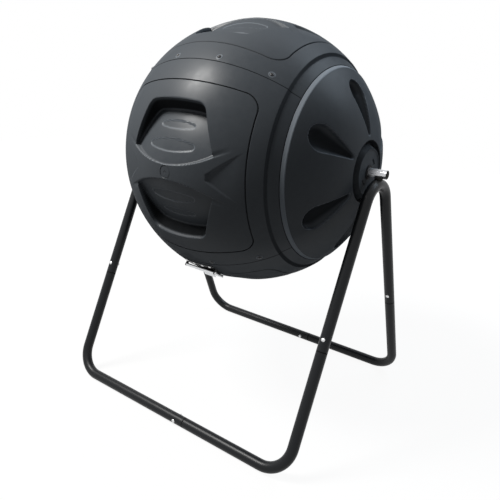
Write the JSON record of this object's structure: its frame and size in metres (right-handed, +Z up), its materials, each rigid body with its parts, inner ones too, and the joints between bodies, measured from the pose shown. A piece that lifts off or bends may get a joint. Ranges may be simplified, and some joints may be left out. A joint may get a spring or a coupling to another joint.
{
  "type": "compost tumbler",
  "caption": "Ball-shaped compost drum of moulded panels and end caps, turning on a tube axle across a bolted tube stand, with hand recesses and a hinged door held by a snap lever.",
  "frame": {"origin": "on the ground, midway between the base corners, straight below the middle of the axle", "axes": "+X along the axle to the right, -Y to the front, +Z up"},
  "size_m": [0.902, 0.7966, 1.1841],
  "materials": {
    "tube": "satin",
    "axle": "satin",
    "zinc": "satin",
    "cap_plastic": "matte",
    "drum_plastic": "satin",
    "bush_plastic": "matte",
    "black_steel": "satin",
    "lever_steel": "brushed"
  },
  "bodies": {
    "frame": {"peak_tube_left": "tube", "peak_tube_right": "tube", "corner_tube_front_left": "tube", "corner_tube_front_right": "tube", "corner_tube_rear_left": "tube", "corner_tube_rear_right": "tube", "axle": "axle", "axle_plugs": "cap_plastic", "axle_saddles": "cap_plastic", "axle_bolts": "zinc", "axle_nuts": "zinc", "leg_bolts": "zinc", "leg_nuts": "zinc", "base_bolts": "zinc", "base_nuts": "zinc"},
    "drum": {"panel_front": "drum_plastic", "panel_top": "drum_plastic", "panel_rear": "drum_plastic", "panel_doorway": "drum_plastic", "end_cap_left": "drum_plastic", "end_cap_right": "drum_plastic", "hub_bush_left": "bush_plastic", "hub_bush_right": "bush_plastic", "seam_screws": "black_steel", "seam_nuts": "zinc", "hinge_pins": "zinc", "hinge_clips": "zinc", "latch_base": "black_steel", "latch_rivets": "zinc", "latch_pin": "zinc"},
    "door": {"door": "drum_plastic", "latch_keeper": "lever_steel", "keeper_rivets": "zinc"},
    "latch": {"latch_lever": "lever_steel"}
  },
  "joints": [
    {"name": "drum_turn", "type": "hinge", "parent": "frame", "child": "drum", "pos_m": [0, 0, 0.78583], "axis": [1, 0, 0], "continuous": true},
    {"name": "door_hinge", "type": "hinge", "parent": "drum", "child": "door", "pos_m": [0, 0.24497, 0.47001], "axis": [1, 0, 0], "range_deg": [0, 95]},
    {"name": "latch_pivot", "type": "hinge", "parent": "drum", "child": "latch", "pos_m": [0, -0.24434, 0.46158], "axis": [-1, 0, 0], "range_deg": [0, 110]}
  ]
}
